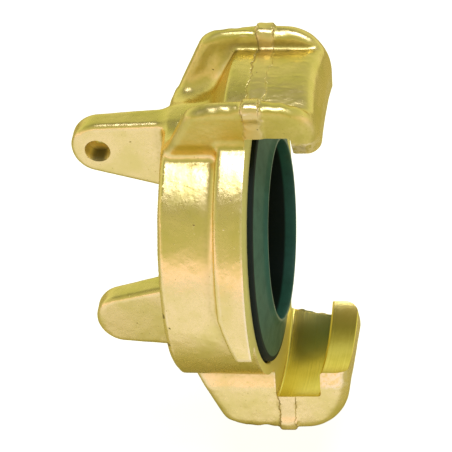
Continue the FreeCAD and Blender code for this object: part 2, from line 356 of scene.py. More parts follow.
@dataclass(frozen=True)
class ForgedSkin:
    """Brass as it comes from the dies: satin and a little sandy; its hollows are painted dark olive
    as shade, and the upper claw's ends darker too.

    Its colours come first, then the grains that it is mixed from, and then its depths.
    """

    name: str = "forged_brass"
    clean: Colour = (0.92, 0.72, 0.31)
    olive: Colour = (0.79, 0.65, 0.21)
    # Dark olive of specks and scabs, and the painted shade in hollows.
    hollow: Colour = (0.38, 0.31, 0.09)
    worn: Colour = (0.98, 0.81, 0.48)
    sheared: Colour = (0.92, 0.71, 0.36)
    seam: Colour = (0.40, 0.31, 0.10)
    pit: Colour = (0.24, 0.18, 0.05)
    # Painted shade: multiplied onto the upper claw's ends, which face across the coupling.
    painted_shade_tint: Colour = (0.71, 0.74, 0.44)
    glance: Colour = (0.92, 0.84, 0.55)
    roughness: float = 0.275
    cloud: Grain = Grain(0.20, 3.0, 0.55)
    fleck: Grain = Grain(2.4, 3.0, 0.6)
    peel: Grain = Grain(0.75)
    grit: Grain = Grain(1.9, 2.0, 0.55)
    sand: Grain = Grain(6.0, 2.0, 0.6)
    scab: Grain = Grain(0.75, 2.0, 0.5, (0.5, 1.2, 1.2), 0.5)
    burr: Grain = Grain(1.7, 2.0, 0.6)
    seam_wander: Grain = Grain(0.5, 3.0, 0.6)
    seam_fray: Grain = Grain(2.2, 2.0, 0.6)
    seam_breaks: Grain = Grain(0.8, 1.0)
    pit_patches: Grain = Grain(0.35, 1.0)
    pits_per_mm: float = 0.62
    specks_per_mm: float = 1.5
    peel_depth: float = 0.052
    grit_depth: float = 0.015
    sand_depth: float = 0.0035
    scab_depth: float = 0.09
    seam_step: float = 0.10
    seam_depth: float = 0.08
    pit_depth: float = 0.10
    speck_depth: float = 0.02
    seams: tuple[float, float] = (0.2, 2.4)
    seam_width: float = 0.15
    seam_wander_width: float = 1.6
    seam_fray_width: float = 0.45
    pit_size: float = 0.05
    edge_pit_size: float = 0.24
    patch_pit_size: float = 0.04
    speck_size: float = 0.13
    drum_back: float = -11.7
    drum_edge: tuple[float, float] = (17.4, 18.6)
    pitted_height: tuple[float, float] = (14.0, 11.0)

    def _seams(self, g: Graph, where: Socket, x: Socket, saddle: Socket) -> tuple[Socket, Socket]:
        """The ragged lines along the borders of the trimmed flash.

        Args:
            g: The material's nodes.
            where: The point.
            x: The point's place along the axis.
            saddle: How far the point is in a saddle, where the second line is worn away.

        Returns:
            How near a point is to a line, and how far it is on the flash's side of both.
        """
        stray = (g.noise(where, self.seam_wander) - 0.5) * self.seam_wander_width
        stray = stray + (g.noise(where, self.seam_fray) - 0.5) * self.seam_fray_width
        first, last = [x - at + stray for at in self.seams]
        broken = g.noise(where, self.seam_breaks).span(0.38, 0.5) * (1.0 - saddle * 0.85)
        ends = (self.seam_width, self.seam_width * 0.15)
        line = first.size().span(*ends).most(last.size().span(*ends) * broken)
        return line, first.span(-0.05, 0.08) * last.span(0.08, -0.05)

    def _pits(self, g: Graph, where: Socket, x: Socket, z: Socket, radius: Socket) -> Socket:
        """Small pits, thickest along the drum's back edge.

        Args:
            g: The material's nodes.
            where: The point.
            x: The point's place along the axis.
            z: The point's height over the axis.
            radius: The point's distance from the axis.

        Returns:
            How far a point is in a pit.
        """
        at_edge = x.span(self.drum_back + 2.2, self.drum_back + 0.4) * radius.span(*self.drum_edge)
        at_edge = at_edge * x.span(self.drum_back - 0.12, self.drum_back - 0.04)
        at_edge = at_edge * z.size().span(*self.pitted_height)
        patch = g.noise(where, self.pit_patches).span(0.50, 0.62)
        size = self.pit_size + at_edge * self.edge_pit_size * patch + patch * self.patch_pit_size
        return (size - g.cells(where, self.pits_per_mm)).span(0.0, 0.06)

    def _masks(self, g: Graph) -> dict[str, Socket]:
        """What the skin's colour, roughness and height hang on.

        Args:
            g: The material's nodes.

        Returns:
            The marks of the mesh, the grains and the flaws by name, each about from 0 to 1.
        """
        where = g.place()
        x, y, z = g.parts(where)
        masks = {mark.value: g.attribute(mark.value) for mark in Mark}
        for name in ("cloud", "fleck", "peel", "grit", "sand"):
            masks[name] = g.noise(where, getattr(self, name))
        seen = masks["parting"] * (1.0 - masks["shaded"] * 0.75)
        line, plateau = self._seams(g, where, x, masks["saddle"])
        masks["line"], masks["plateau"] = line * seen, plateau * seen
        masks["pits"] = self._pits(g, where, x, z, (y * y + z * z) ** 0.5)
        specks = (self.speck_size - g.cells(where, self.specks_per_mm)).span(0.0, 0.09)
        masks["specks"] = specks * masks["cloud"].span(0.40, 0.55)
        masks["scabby"] = masks["saddle"] * x.span(0.0, 0.6)
        masks["scab"] = g.noise(where, self.scab) * masks["scabby"]
        burr = g.noise(where, self.burr).span(0.35, 0.6)
        masks["burr"] = x.span(-0.28, -0.12) * burr * masks["rim"]
        return masks

    def _tone(self, g: Graph, masks: Mapping[str, Socket]) -> Socket:
        """The skin's colour.

        Args:
            g: The material's nodes.
            masks: The masks by name.

        Returns:
            The colour.
        """
        fleck = masks["fleck"]
        return g.coated(
            g.blend(masks["cloud"].span(0.35, 0.7), self.clean, self.olive),
            (fleck.span(0.45, 0.75) * 0.55, self.olive),
            (masks["specks"] * 0.55, self.hollow),
            # Painted shade on the upper claw's ends.
            (masks["shaded"] * (0.75 + fleck * 0.5), self.painted_shade_tint, "MULTIPLY"),
            (masks["scab"].span(0.45, 0.75) * 0.22, self.hollow),
            # Painted shade: the hollows of the skin are darkened towards the hollow colour.
            ((masks["cavity"] * (0.7 + fleck * 0.6)).span(0.25, 1.3), self.hollow),
            ((masks["ridge"] * (0.5 + fleck)).span(0.25, 0.9) * 0.8, self.worn),
            (masks["flash"] * 0.4, self.sheared),
            (masks["line"] * 0.38, self.seam),
            (masks["burr"] * 0.8, self.worn),
            (masks["pits"] * 0.85, self.pit))

    def _height(self, masks: Mapping[str, Socket]) -> Socket:
        """The skin's height, where 1 is the depth of its peel.

        Args:
            masks: The masks by name.

        Returns:
            The height, from the peel and all that stands over or lies in it.
        """
        matt = 1.0 - masks["ridge"] * 0.85
        height = masks["peel"]
        for layer, depth in (
                (masks["grit"] * matt, self.grit_depth), (masks["sand"] * matt, self.sand_depth),
                (masks["scab"], self.scab_depth), (masks["plateau"], self.seam_step),
                (masks["line"], -self.seam_depth), (masks["pits"], -self.pit_depth),
                (masks["specks"], -self.speck_depth)):
            height = height + layer * (depth / self.peel_depth)
        return height

    def material(self) -> bpy.types.Material:
        """Builds the skin's nodes, which read the marks of the mesh.

        Returns:
            The material.
        """
        surface = Surface(self.name, Metallic=1.0, Specular_Tint=(*self.glance, 1.0))
        masks = self._masks(surface.graph)
        rough = (self.roughness + (masks["cloud"] - 0.5) * 0.12 + (masks["fleck"] - 0.5) * 0.12
                 + masks["cavity"] * 0.12 + masks["line"] * 0.2 + masks["scabby"] * 0.04
                 + masks["pits"] * 0.3 + masks["shaded"] * 0.12)
        return surface.vary(Base_Color=self._tone(surface.graph, masks), Roughness=rough,
                            Normal=surface.graph.bump(self._height(masks), self.peel_depth))


@dataclass(frozen=True)
class TurnedBrass:
    """Brass cut on a lathe: fine rings round the axis, brighter and greener than the skin, with
    painted shade deep in its cavity and a painted highlight on its front face.
    """

    name: str = "turned_brass"
    bright: Colour = (0.90, 0.72, 0.22)
    dull: Colour = (0.78, 0.60, 0.14)
    painted_deep_shade: Colour = (0.05, 0.045, 0.015)
    painted_face_glint: Colour = (0.97, 0.93, 0.50)
    glance: Colour = (0.94, 0.88, 0.55)
    roughness: float = 0.19
    cloud: Grain = Grain(0.3, 3.0, 0.6)
    rings: Grain = Grain(4.5, 3.0, 0.65)
    ring_slope: float = 1.07
    ring_depth: float = 0.004
    cavity_radius: float = 12.8
    cavity_depth: tuple[float, float] = (-3.0, -8.0)
    eye_from: tuple[float, float] = (-17.0, -18.0)

    def material(self) -> bpy.types.Material:
        """Builds the cut's nodes, whose rings follow the distance from the axis and along it.

        Returns:
            The material.
        """
        surface = Surface(self.name, Metallic=1.0, Specular_Tint=(*self.glance, 1.0))
        g = surface.graph
        where = g.place()
        x, y, z = g.parts(where)
        radius = (y * y + z * z) ** 0.5
        inputs = {"W": radius + x * self.ring_slope, "Scale": self.rings.per_mm,
                  "Detail": self.rings.detail, "Roughness": self.rings.roughness}
        line = g.node("ShaderNodeTexNoise", {"noise_dimensions": "1D"}, inputs)
        cloud = g.noise(where, self.cloud)
        wall = self.cavity_radius
        # Painted shade: deep in the cavity behind the seal the cut is painted nearly black.
        deep = x.span(*self.cavity_depth) * radius.span(wall + 0.6, wall)
        # Painted highlight: the turned front face round the seat is painted paler, standing in for
        # a bright reflection.
        face = x.size().span(0.12, 0.04) * radius.span(wall, wall + 2.0)
        hole = x.span(*self.eye_from)
        worn = g.blend((cloud * 0.7 + line * 0.5).span(0.45, 0.8), self.bright, self.dull)
        colour = g.coated(worn, (deep * 0.8, self.painted_deep_shade), (face * 0.8, self.painted_face_glint))
        rough = self.roughness + (line - 0.5) * 0.12 + deep * 0.2 + face * 0.28 + hole * 0.25
        return surface.vary(Base_Color=colour, Roughness=rough, Metallic=1.0 - hole * 0.55,
                            Normal=g.bump(line, self.ring_depth))


@dataclass(frozen=True)
class MouldedRubber:
    """Dark green rubber with a soft shine, dusty on its face; its outer rim and the depth of its
    bore are painted black as shade, and a paler line along its lip is a painted highlight.
    """

    name: str = "seal_rubber"
    # Near black: painted shade on the rim and deep in the bore, and mixed into dusty patches.
    body: Colour = (0.006, 0.012, 0.009)
    face: Colour = (0.027, 0.108, 0.078)
    # A painted highlight along the lip's edge.
    lip: Colour = (0.16, 0.22, 0.17)
    roughness: float = 0.40
    shine: float = 0.22
    dust: Grain = Grain(0.5, 3.0, 0.6)
    grain: Grain = Grain(6.0, 2.0, 0.6)
    grain_depth: float = 0.02
    grain_strength: float = 0.7
    lip_inset: float = 0.22

    def material(self, ring: "SealRing") -> bpy.types.Material:
        """Builds the rubber's nodes.

        Args:
            ring: The ring, whose sizes the bands of colour follow.

        Returns:
            The material.
        """
        surface = Surface(self.name, Metallic=0.0, Specular_IOR_Level=self.shine)
        g = surface.graph
        where = g.place()
        x, y, z = g.parts(where)
        radius = (y * y + z * z) ** 0.5
        dust, grain = g.noise(where, self.dust), g.noise(where, self.grain)
        # Painted shade: the outer rim, in the gap by the seat, is painted black.
        rim = radius.span(ring.outer - 0.80, ring.outer - 0.55)
        # Painted highlight: a pale line along the lip's edge.
        edge = (radius - (ring.bore + self.lip_inset)).size().span(0.16, 0.06)
        edge = edge * x.span(ring.reach - 0.4, ring.reach - 0.1)
        # Painted shade: behind the face, down the bore and under the rim, the ring is painted
        # black.
        colour = g.coated(g.blend(x.span(0.2, 0.6) * (1.0 - rim), self.body, self.face),
                          (dust.span(0.35, 0.75) * 0.25, self.body), (edge * 0.85, self.lip))
        rough = self.roughness + (dust - 0.5) * 0.2 + (grain - 0.5) * 0.1 + rim * 0.3
        return surface.vary(Base_Color=colour, Roughness=rough,
                            Normal=g.bump(grain + dust, self.grain_depth, self.grain_strength))


# Shapes given by distance: below 0 inside, in millimetres

def overlap_round(first: Array, second: Array, radius: float | Array, lean: float = 0.0) -> Array:
    """What two shapes share, with the edge between them rounded.

    Args:
        first: Distance from one shape.
        second: Distance from the other.
        radius: The edge's radius.
        lean: The cosine of the angle between the ways in which the two skins face.

    Returns:
        Distance from what they share.
    """
    a, b = first + radius, second + radius
    corner = (a > lean * b) & (b > lean * a)
    arm = np.sqrt(np.maximum(a * a + b * b - 2 * lean * a * b, 0) / (1 - lean * lean))
    return np.where(corner, arm - radius, np.maximum(first, second))


def join_round(first: Array, second: Array, radius: float | Array, lean: float = 0.0) -> Array:
    """Two shapes joined with a hollow round between them, as overlap_round but inside out."""
    return -overlap_round(-first, -second, radius, lean)


def left_of(u: Array, v: Array, start: Point, end: Point) -> Array:
    """How far points lie to the left of the line from start to end."""
    run, rise = end[0] - start[0], end[1] - start[1]
    return ((v - start[1]) * run - (u - start[0]) * rise) / math.hypot(run, rise)


def ease(value: Array, low: float, high: float) -> Array:
    """0 below low and 1 above high, eased between."""
    share = np.clip((value - low) / (high - low), 0, 1)
    return share * share * (3 - 2 * share)


@dataclass(frozen=True)
class Ripple:
    """Smooth made-up unevenness: a sum of waves in directions drawn from one seed."""

    seed: int
    wavelength: float
    waves: int = 12
    spread: Point = (0.6, 1.6)
    peak: float = 1.6

    def at(self, x: Array, y: Array, z: Array) -> Array:
        """The unevenness at points.

        Args:
            x, y, z: The points.

        Returns:
            The unevenness, mostly from -1 to 1.
        """
        draw = np.random.default_rng(self.seed)
        total = 0.0
        for _ in range(self.waves):
            way = draw.normal(size=3)
            length = self.wavelength * draw.uniform(*self.spread)
            way *= 2 * math.pi / (length * np.linalg.norm(way))
            start = draw.uniform(0, 2 * math.pi)
            total = total + np.sin(way[0] * x + way[1] * y + way[2] * z + start)
        return total / math.sqrt(self.waves / 2) / self.peak


@dataclass(frozen=True)
class Drum:
    """The closed pot that carries the rest."""

    front_radius: float = 19.25
    back_radius: float = 19.05
    length: float = 11.7
    bevel: float = 0.6
    edge: float = 0.3
    dish: float = 0.25
    spare: float = 0.5

    def distance(self, x: Array, y: Array, z: Array) -> Array:
        """Distance from the drum's skin.

        Args:
            x, y, z: The points.

        Returns:
            Distance, below 0 inside.
        """
        radius = np.hypot(y, z)
        draft = (self.front_radius - self.back_radius) / self.length
        side = radius - self.front_radius - draft * x
        back = -x - self.length + self.dish * np.clip(1 - (radius / self.back_radius) ** 2, 0, 1)
        bevel = (side + back + self.bevel) * math.sqrt(0.5)
        side = overlap_round(side, bevel, self.edge, math.sqrt(0.5))
        return np.maximum(overlap_round(side, back, self.edge, math.sqrt(0.5)), x - self.spare)


@dataclass(frozen=True)
class Flange:
    """A rim segment that hooks behind a claw of the other coupling, thinned by its lead-in."""

    radius: float = 22.1
    thickness: float = 3.9
    edge: float = 0.7
    end_edge: float = 0.4
    end_angle: float = 103.2
    lead_start: float = 84.0
    lead_thickness: float = 2.4
    spare: float = 0.5

    def past_end(self, y: Array, z: Array) -> Array:
        """How far points lie past the segment's end."""
        end = math.radians(self.end_angle)
        return -y * math.cos(end) - z * math.sin(end)

    def distance(self, x: Array, y: Array, z: Array) -> Array:
        """Distance from the segment's skin.

        Args:
            x, y, z: The points.

        Returns:
            Distance, below 0 inside.
        """
        turn = np.degrees(np.arctan2(-y, z))
        thickness = np.interp(turn, (self.lead_start, self.end_angle),
                              (self.thickness, self.lead_thickness))
        rim = overlap_round(np.hypot(y, z) - self.radius, -x - thickness, self.edge)
        rim = overlap_round(rim, self.past_end(y, z), self.end_edge)
        return np.maximum(np.maximum(rim, y), x - self.spare)


@dataclass(frozen=True)
class Claw:
    """The hooked lip with a horn along each end, the saddle between them and the trimmed flash."""

    half_angle: float = 22.2
    reach: float = 9.65
    crest: float = 27.0
    end_side: float = 8.366
    end_height: float = 20.5
    crest_side: float = 9.5
    rear_foot: Point = (-11.10, 18.4)
    crest_start: Point = (-6.70, 27.0)
    rear_round: float = 4.2
    front_round: float = 5.6
    end_round: float = 3.0
    edge: float = 1.25
    front_edge: float = 2.0
    saddle: float = 25.6
    steep_top: Point = (-2.95, 25.15)
    steep_foot: Point = (-5.55, 20.6)
    valley_end: Point = (-8.75, 19.05)
    steep_round: float = 0.6
    valley_round: float = 3.5
    wall_foot: Point = (5.604, 17.85)
    wall_top: Point = (6.804, 26.2)
    wall_round: float = 0.5
    valley_wall_round: float = 2.6
    inner_edge: float = 0.95
    flash_from: float = 0.2
    flash_to: float = 2.4
    flash_on_crest: float = 0.4
    flash_on_end: float = 0.14
    flash_in_saddle: float = 0.10
    flash_slope: Point = (0.25, 0.12)
    flash_ripples: tuple[tuple[Ripple, float], ...] = (
        (Ripple(11, 2.2), 0.16), (Ripple(12, 5.0), 0.12), (Ripple(13, 1.8), 0.2))
    scar_height: float = 0.85
    scar_from: Point = (-0.9, 0.1)
    scar_to: float = 5.2
    scar_ripple: Ripple = Ripple(31, 2.0)
    scar_roughness: float = 0.35
    steep_lean: float = 0.83
    steep_top_lean: float = 0.5
    valley_lean: float = 0.9
    crest_lean: float = 0.455
    end_lean: float = 0.977
    wall_rounds_from: Point = (-6.0, -2.2)
    front_edges_from: Point = (5.5, 9.0)

    def _hollow(self, x: Array, y: Array, z: Array) -> Array:
        """Distance from the saddle's floor, steep back and walls.

        Args:
            x, y, z: The points.

        Returns:
            Distance, below 0 where metal may be.
        """
        radius = np.hypot(y, z)
        steep = join_round(left_of(x, radius, self.steep_foot, self.steep_top),
                           left_of(x, radius, self.valley_end, self.steep_foot),
                           self.valley_round, self.steep_lean)
        floor = overlap_round(radius - self.saddle, steep, self.steep_round, self.steep_top_lean)
        floor = join_round(floor, radius - self.valley_end[1], self.valley_round, self.valley_lean)
        wall = -left_of(-np.abs(y), z, (-self.wall_foot[0], self.wall_foot[1]),
                        (-self.wall_top[0], self.wall_top[1]))
        sharper = (self.wall_round - self.valley_wall_round) * ease(x, *self.wall_rounds_from)
        return join_round(floor, wall, self.valley_wall_round + sharper)

    def scar(self, x: Array, y: Array, z: Array) -> Array:
        """How far the rough trimming of one claw's end stands proud, falling off along the claw.

        Args:
            x, y, z: The points.

        Returns:
            The height of the scar, 0 off that end.
        """
        fall = self.scar_height * np.clip(1 - x / self.scar_to, 0, 1) * ease(x, *self.scar_from)
        return fall * (1 + self.scar_roughness * self.scar_ripple.at(x, y, z)) * (y < 0)

    def plain(self, x: Array, y: Array, z: Array, scarred: bool = False) -> Array:
        """Distance from the claw without its flash.

        Args:
            x, y, z: The points.
            scarred: Whether its -Y end was trimmed roughly.

        Returns:
            Distance, below 0 inside.
        """
        rear = np.maximum(left_of(x, z, self.rear_foot, self.crest_start), self.rear_foot[0] - x)
        side = overlap_round(rear, z - self.crest, self.rear_round, self.crest_lean)
        side = overlap_round(side, x - self.reach, self.front_round)
        angle = math.radians(self.half_angle)
        radial = np.abs(y) * math.cos(angle) - z * math.sin(angle)
        upright = -left_of(np.abs(y), z, (self.end_side, self.end_height),
                           (self.crest_side, self.crest))
        ends = overlap_round(radial, upright, self.end_round, self.end_lean)
        if scarred:
            ends = ends - self.scar(x, y, z)
        edge = self.edge + (self.front_edge - self.edge) * ease(x, *self.front_edges_from)
        solid = overlap_round(side, ends, edge)
        return overlap_round(solid, self._hollow(x, y, z), self.inner_edge)

    def flash(self, x: Array, y: Array, z: Array) -> Array:
        """How strongly the trimmed flash shows, with ragged borders.

        Args:
            x, y, z: The points.

        Returns:
            The flash's share of its full height.
        """
        rag, wander, far_rag = [ripple.at(x, y, z) * most for ripple, most in self.flash_ripples]
        low, high = self.flash_from + rag + wander, self.flash_to + far_rag
        outer, inner = self.flash_slope
        return ease(x, low - outer, low + inner) * (1 - ease(x, high - inner, high + outer))

    def distance(self, x: Array, y: Array, z: Array, scarred: bool = False) -> Array:
        """Distance from the claw's skin.

        Args:
            x, y, z: The points.
            scarred: Whether its -Y end was trimmed roughly.

        Returns:
            Distance, below 0 inside.
        """
        in_saddle = ease(self.wall_foot[0] + 0.9 - np.abs(y), -0.4, 0.4)
        on_crest = ease(z, self.crest - 2.6, self.crest - 1.0)
        proud = self.flash_on_end + (self.flash_on_crest - self.flash_on_end) * on_crest
        proud = proud + (self.flash_in_saddle - proud) * in_saddle
        return self.plain(x, y, z, scarred) - proud * self.flash(x, y, z)


@dataclass(frozen=True)
class Wing:
    """A finger grip behind the drum: a tapering plate, round at its tip."""

    root_x: float = -5.85
    root_top: float = 19.35
    root_foot: float = 6.45
    tip: Point = (-20.75, 14.5)
    tip_radius: float = 3.85
    root_half: float = 2.1
    tip_half: float = 1.55
    edge: float = 0.75
    reach: float = 24.6

    def _border(self, x: Array, z: Array, height: float, side: float) -> tuple[Array, Array]:
        """Distances from a border and past the tip's middle along it.

        Args:
            x: Place along the coupling's axis.
            z: Place above it.
            height: Where the border starts at the wing's root.
            side: 1 for the outer border and -1 for the inner one.

        Returns:
            How far points lie outside the line that touches the tip's circle, and how far on.
        """
        run, rise = self.tip[0] - self.root_x, self.tip[1] - height
        angle = math.atan2(rise, run) - side * math.asin(self.tip_radius / math.hypot(run, rise))
        on = (math.cos(angle), math.sin(angle))
        outside = side * ((x - self.root_x) * on[1] - (z - height) * on[0])
        return outside, (x - self.tip[0]) * on[0] + (z - self.tip[1]) * on[1]

    def distance(self, x: Array, y: Array, z: Array) -> Array:
        """Distance from the wing's skin.

        Args:
            x, y, z: The points.

        Returns:
            Distance, below 0 inside.
        """
        outer, past_outer = self._border(x, z, self.root_top, 1.0)
        inner, past_inner = self._border(x, z, self.root_foot, -1.0)
        tip = np.hypot(x - self.tip[0], z - self.tip[1]) - self.tip_radius
        outline = np.where((past_outer > 0) & (past_inner > 0), tip, np.maximum(outer, inner))
        share = np.clip((x + self.reach) / (self.root_x + self.reach), 0, 1)
        half = self.tip_half + (self.root_half - self.tip_half) * share
        plate = overlap_round(outline, np.abs(y) - half, self.edge)
        return np.maximum(plate, x - self.root_x)


# Mesh work

def mesh_object(name: str, points: Array, faces: Iterable[Sequence[int]]) -> bpy.types.Object:
    """Makes an object from points in millimetres.

    Args:
        name: The object's name.
        points: One row for each point.
        faces: The point numbers of each face.

    Returns:
        The object, linked to the scene.
    """
    mesh = bpy.data.meshes.new(name)
    rows = faces.tolist() if isinstance(faces, np.ndarray) else list(faces)
    mesh.from_pydata((np.asarray(points, float) * MM).tolist(), [], rows)
    mesh.update()
    made = bpy.data.objects.new(name, mesh)
    bpy.context.scene.collection.objects.link(made)
    return made


def softened(corners: Sequence[tuple[float, float, float]], steps: int = 6) -> list[Point]:
    """A line of corners with each one rounded.

    Args:
        corners: Each corner's place and its rounding's radius; 0 keeps it sharp.
        steps: How many pieces a rounding is made of.

    Returns:
        The points of the softened line.
    """
    made: list[Point] = []
    for number, (u, v, radius) in enumerate(corners):
        here = np.array((u, v))
        if radius <= 0 or number in (0, len(corners) - 1):
            made.append((u, v))
            continue
        back = np.array(corners[number - 1][:2]) - here
        on = np.array(corners[number + 1][:2]) - here
        back, on = back / np.linalg.norm(back), on / np.linalg.norm(on)
        half = math.acos(float(np.clip(back @ on, -1, 1))) / 2
        reach = radius / math.tan(half)
        middle = here + (back + on) / np.linalg.norm(back + on) * radius / math.sin(half)
        first, last = here + back * reach - middle, here + on * reach - middle
        turn = math.pi - 2 * half
        for step in range(steps + 1):
            share = step / steps
            arm = math.sin((1 - share) * turn) * first + math.sin(share * turn) * last
            made.append(tuple(middle + arm / math.sin(turn)))
    return made


def turned(name: str, profile: Sequence[Point], segments: int,
           closed: bool = False) -> bpy.types.Object:
    """Sweeps a profile of (x, radius) points round the X axis.

    Args:
        name: The object's name.
        profile: The points; a radius of 0 makes one point on the axis.
        segments: How many steps the turn has.
        closed: Whether the last point joins the first, as in a ring.

    Returns:
        The swept object, its faces looking out.
    """
    area = sum(a[0] * b[1] - b[0] * a[1] for a, b in zip(profile, [*profile[1:], profile[0]]))
    profile = list(profile)[::-1] if area > 0 else profile
    angles = np.arange(segments) * 2 * math.pi / segments
    points, rings = [], []
    for x, radius in profile:
        if radius <= 0:
            rings.append([len(points)] * segments)
            points.append((x, 0.0, 0.0))
        else:
            rings.append(list(range(len(points), len(points) + segments)))
            points.extend((x, -radius * math.sin(a), radius * math.cos(a)) for a in angles)
    pairs = list(zip(rings, rings[1:])) + ([(rings[-1], rings[0])] if closed else [])
    faces = []
    for lower, upper in pairs:
        for i in range(segments):
            j = (i + 1) % segments
            loop = (lower[i], lower[j], upper[j], upper[i])
            faces.append(tuple(dict.fromkeys(loop)))
    return mesh_object(name, np.array(points), faces)


class Net:
    """A mesh of even quads over the skin of a shape that is given by distance."""

    PULL = 0.6

    def __init__(self, low: Sequence[float], high: Sequence[float], step: float,
                 distance: Callable[[Array, Array, Array], Array]) -> None:
        """Lays the net in a box.

        Args:
            low: The box's lowest corner.
            high: The box's highest corner.
            step: The size of the quads.
            distance: The shape's distance at points.
        """
        self.low, self.step, self.distance = np.array(low, float), step, distance
        counts = [int(math.ceil((b - a) / step)) + 1 for a, b in zip(low, high)]
        axes = [a + step * np.arange(n) for a, n in zip(low, counts)]
        x, y, z = np.meshgrid(*axes, indexing="ij", sparse=True)
        self.points, self.quads = self._laid(np.broadcast_to(distance(x, y, z), counts))

    def _laid(self, values: Array) -> tuple[Array, Array]:
        """Puts a point in every cell that the skin runs through, and a quad over every crossing.

        Args:
            values: The distance at the grid's corners.

        Returns:
            The points, and the four point numbers of each quad.
        """
        counts = np.array(values.shape)
        strides = np.array([counts[1] * counts[2], counts[2], 1])
        cells, places, quads = [], [], []
        for axis in range(3):
            j, k = (axis + 1) % 3, (axis + 2) % 3
            low, high = [slice(None)] * 3, [slice(None)] * 3
            low[axis], high[axis] = slice(0, -1), slice(1, None)
            first, second = values[tuple(low)], values[tuple(high)]
            at = np.argwhere((first < 0) != (second < 0))
            at = at[(at[:, j] > 0) & (at[:, k] > 0)]
            a, b = first[tuple(at.T)], second[tuple(at.T)]
            crossing = at.astype(float)
            crossing[:, axis] += a / (a - b)
            corner = at @ strides
            back = corner - strides[k]
            ring = [back - strides[j], back, corner, corner - strides[j]]
            cells.extend(ring)
            places.extend([crossing] * 4)
            quad = np.stack(ring, axis=1)
            quads.append(np.where((a < 0)[:, None], quad, quad[:, ::-1]))
        cells, places = np.concatenate(cells), np.concatenate(places)
        used, number = np.unique(cells, return_inverse=True)
        count = np.bincount(number)
        middle = np.stack([np.bincount(number, places[:, i]) / count for i in range(3)], axis=1)
        return self.low + middle * self.step, np.searchsorted(used, np.concatenate(quads))

    def normals(self, points: Array, reach: float = 0.02) -> Array:
        """The way in which the distance grows.

        Args:
            points: One row for each point.
            reach: How far to either side it is measured.

        Returns:
            One row of length 1 for each point.
        """
        shift = np.eye(3) * reach
        grown = [self.distance(*(points + s).T) - self.distance(*(points - s).T) for s in shift]
        grown = np.stack(grown, axis=1)
        return grown / np.maximum(np.linalg.norm(grown, axis=1, keepdims=True), 1e-9)

    def settle(self, rounds: int) -> None:
        """Evens out the quads and draws every point on to the skin.

        Args:
            rounds: How often the points are evened out; two more rounds only draw them in.
        """
        links = np.concatenate([self.quads[:, [i, (i + 1) % 4]] for i in range(4)])
        count = np.bincount(links.ravel(), minlength=len(self.points))[:, None]
        for number in range(rounds + 2):
            normal = self.normals(self.points)
            if number < rounds:
                total = np.zeros_like(self.points)
                for i in range(3):
                    for here, there in (links.T, links.T[::-1]):
                        total[:, i] += np.bincount(here, self.points[there, i], len(self.points))
                pull = total / count - self.points
                pull -= normal * (pull * normal).sum(axis=1, keepdims=True)
                self.points += self.PULL * pull
            miss = np.clip(self.distance(*self.points.T), -self.step, self.step)
            self.points -= normal * miss[:, None]


def crease(made: bpy.types.Object, angle: float) -> None:
    """Shades an object smooth, with sharp edges.

    Args:
        made: The object.
        angle: How far the faces beside a sharp edge turn at least, in degrees.
    """
    mesh = made.data
    count = len(mesh.polygons)
    mesh.polygons.foreach_set("use_smooth", [True] * count)
    normals = np.zeros(count * 3)
    mesh.polygons.foreach_get("normal", normals)
    normals = normals.reshape(-1, 3)
    starts, totals = np.zeros(count, int), np.zeros(count, int)
    mesh.polygons.foreach_get("loop_start", starts)
    mesh.polygons.foreach_get("loop_total", totals)
    owner = np.repeat(np.arange(count), totals)
    edges = np.zeros(len(mesh.loops), int)
    mesh.loops.foreach_get("edge_index", edges)
    order = np.argsort(edges, kind="stable")
    sorted_edges, sorted_owner = edges[order], owner[order]
    same = np.flatnonzero(sorted_edges[1:] == sorted_edges[:-1])
    turn = (normals[sorted_owner[same]] * normals[sorted_owner[same + 1]]).sum(axis=1)
    sharp = np.zeros(len(mesh.edges), bool)
    sharp[sorted_edges[same][turn < math.cos(math.radians(angle))]] = True
    mesh.attributes.new("sharp_edge", "BOOLEAN", "EDGE").data.foreach_set("value", sharp)
    mesh.update()


def cut(blank: bpy.types.Object, cutters: Sequence[bpy.types.Object],
        name: str) -> bpy.types.Object:
    """Cuts other objects out of a blank; the cut faces take the cutters' materials.

    Args:
        blank: The object to cut; it is removed.
        cutters: What is cut out; they are removed too.
        name: The name of the cut object.

    Returns:
        The new object.
    """
    for cutter in cutters:
        change = blank.modifiers.new(cutter.name, "BOOLEAN")
        change.operation, change.solver, change.material_mode = "DIFFERENCE", "EXACT", "TRANSFER"
        change.object = cutter
    graph = bpy.context.evaluated_depsgraph_get()
    mesh = bpy.data.meshes.new_from_object(blank.evaluated_get(graph))
    mesh.name = name
    made = bpy.data.objects.new(name, mesh)
    bpy.context.scene.collection.objects.link(made)
    for old in (blank, *cutters):
        bpy.data.objects.remove(old)
    return made


# Sub-assemblies

class Half(Enum):
    """The two halves of the coupling, which are alike after half a turn about its axis."""

    UPPER = 1.0
    LOWER = -1.0


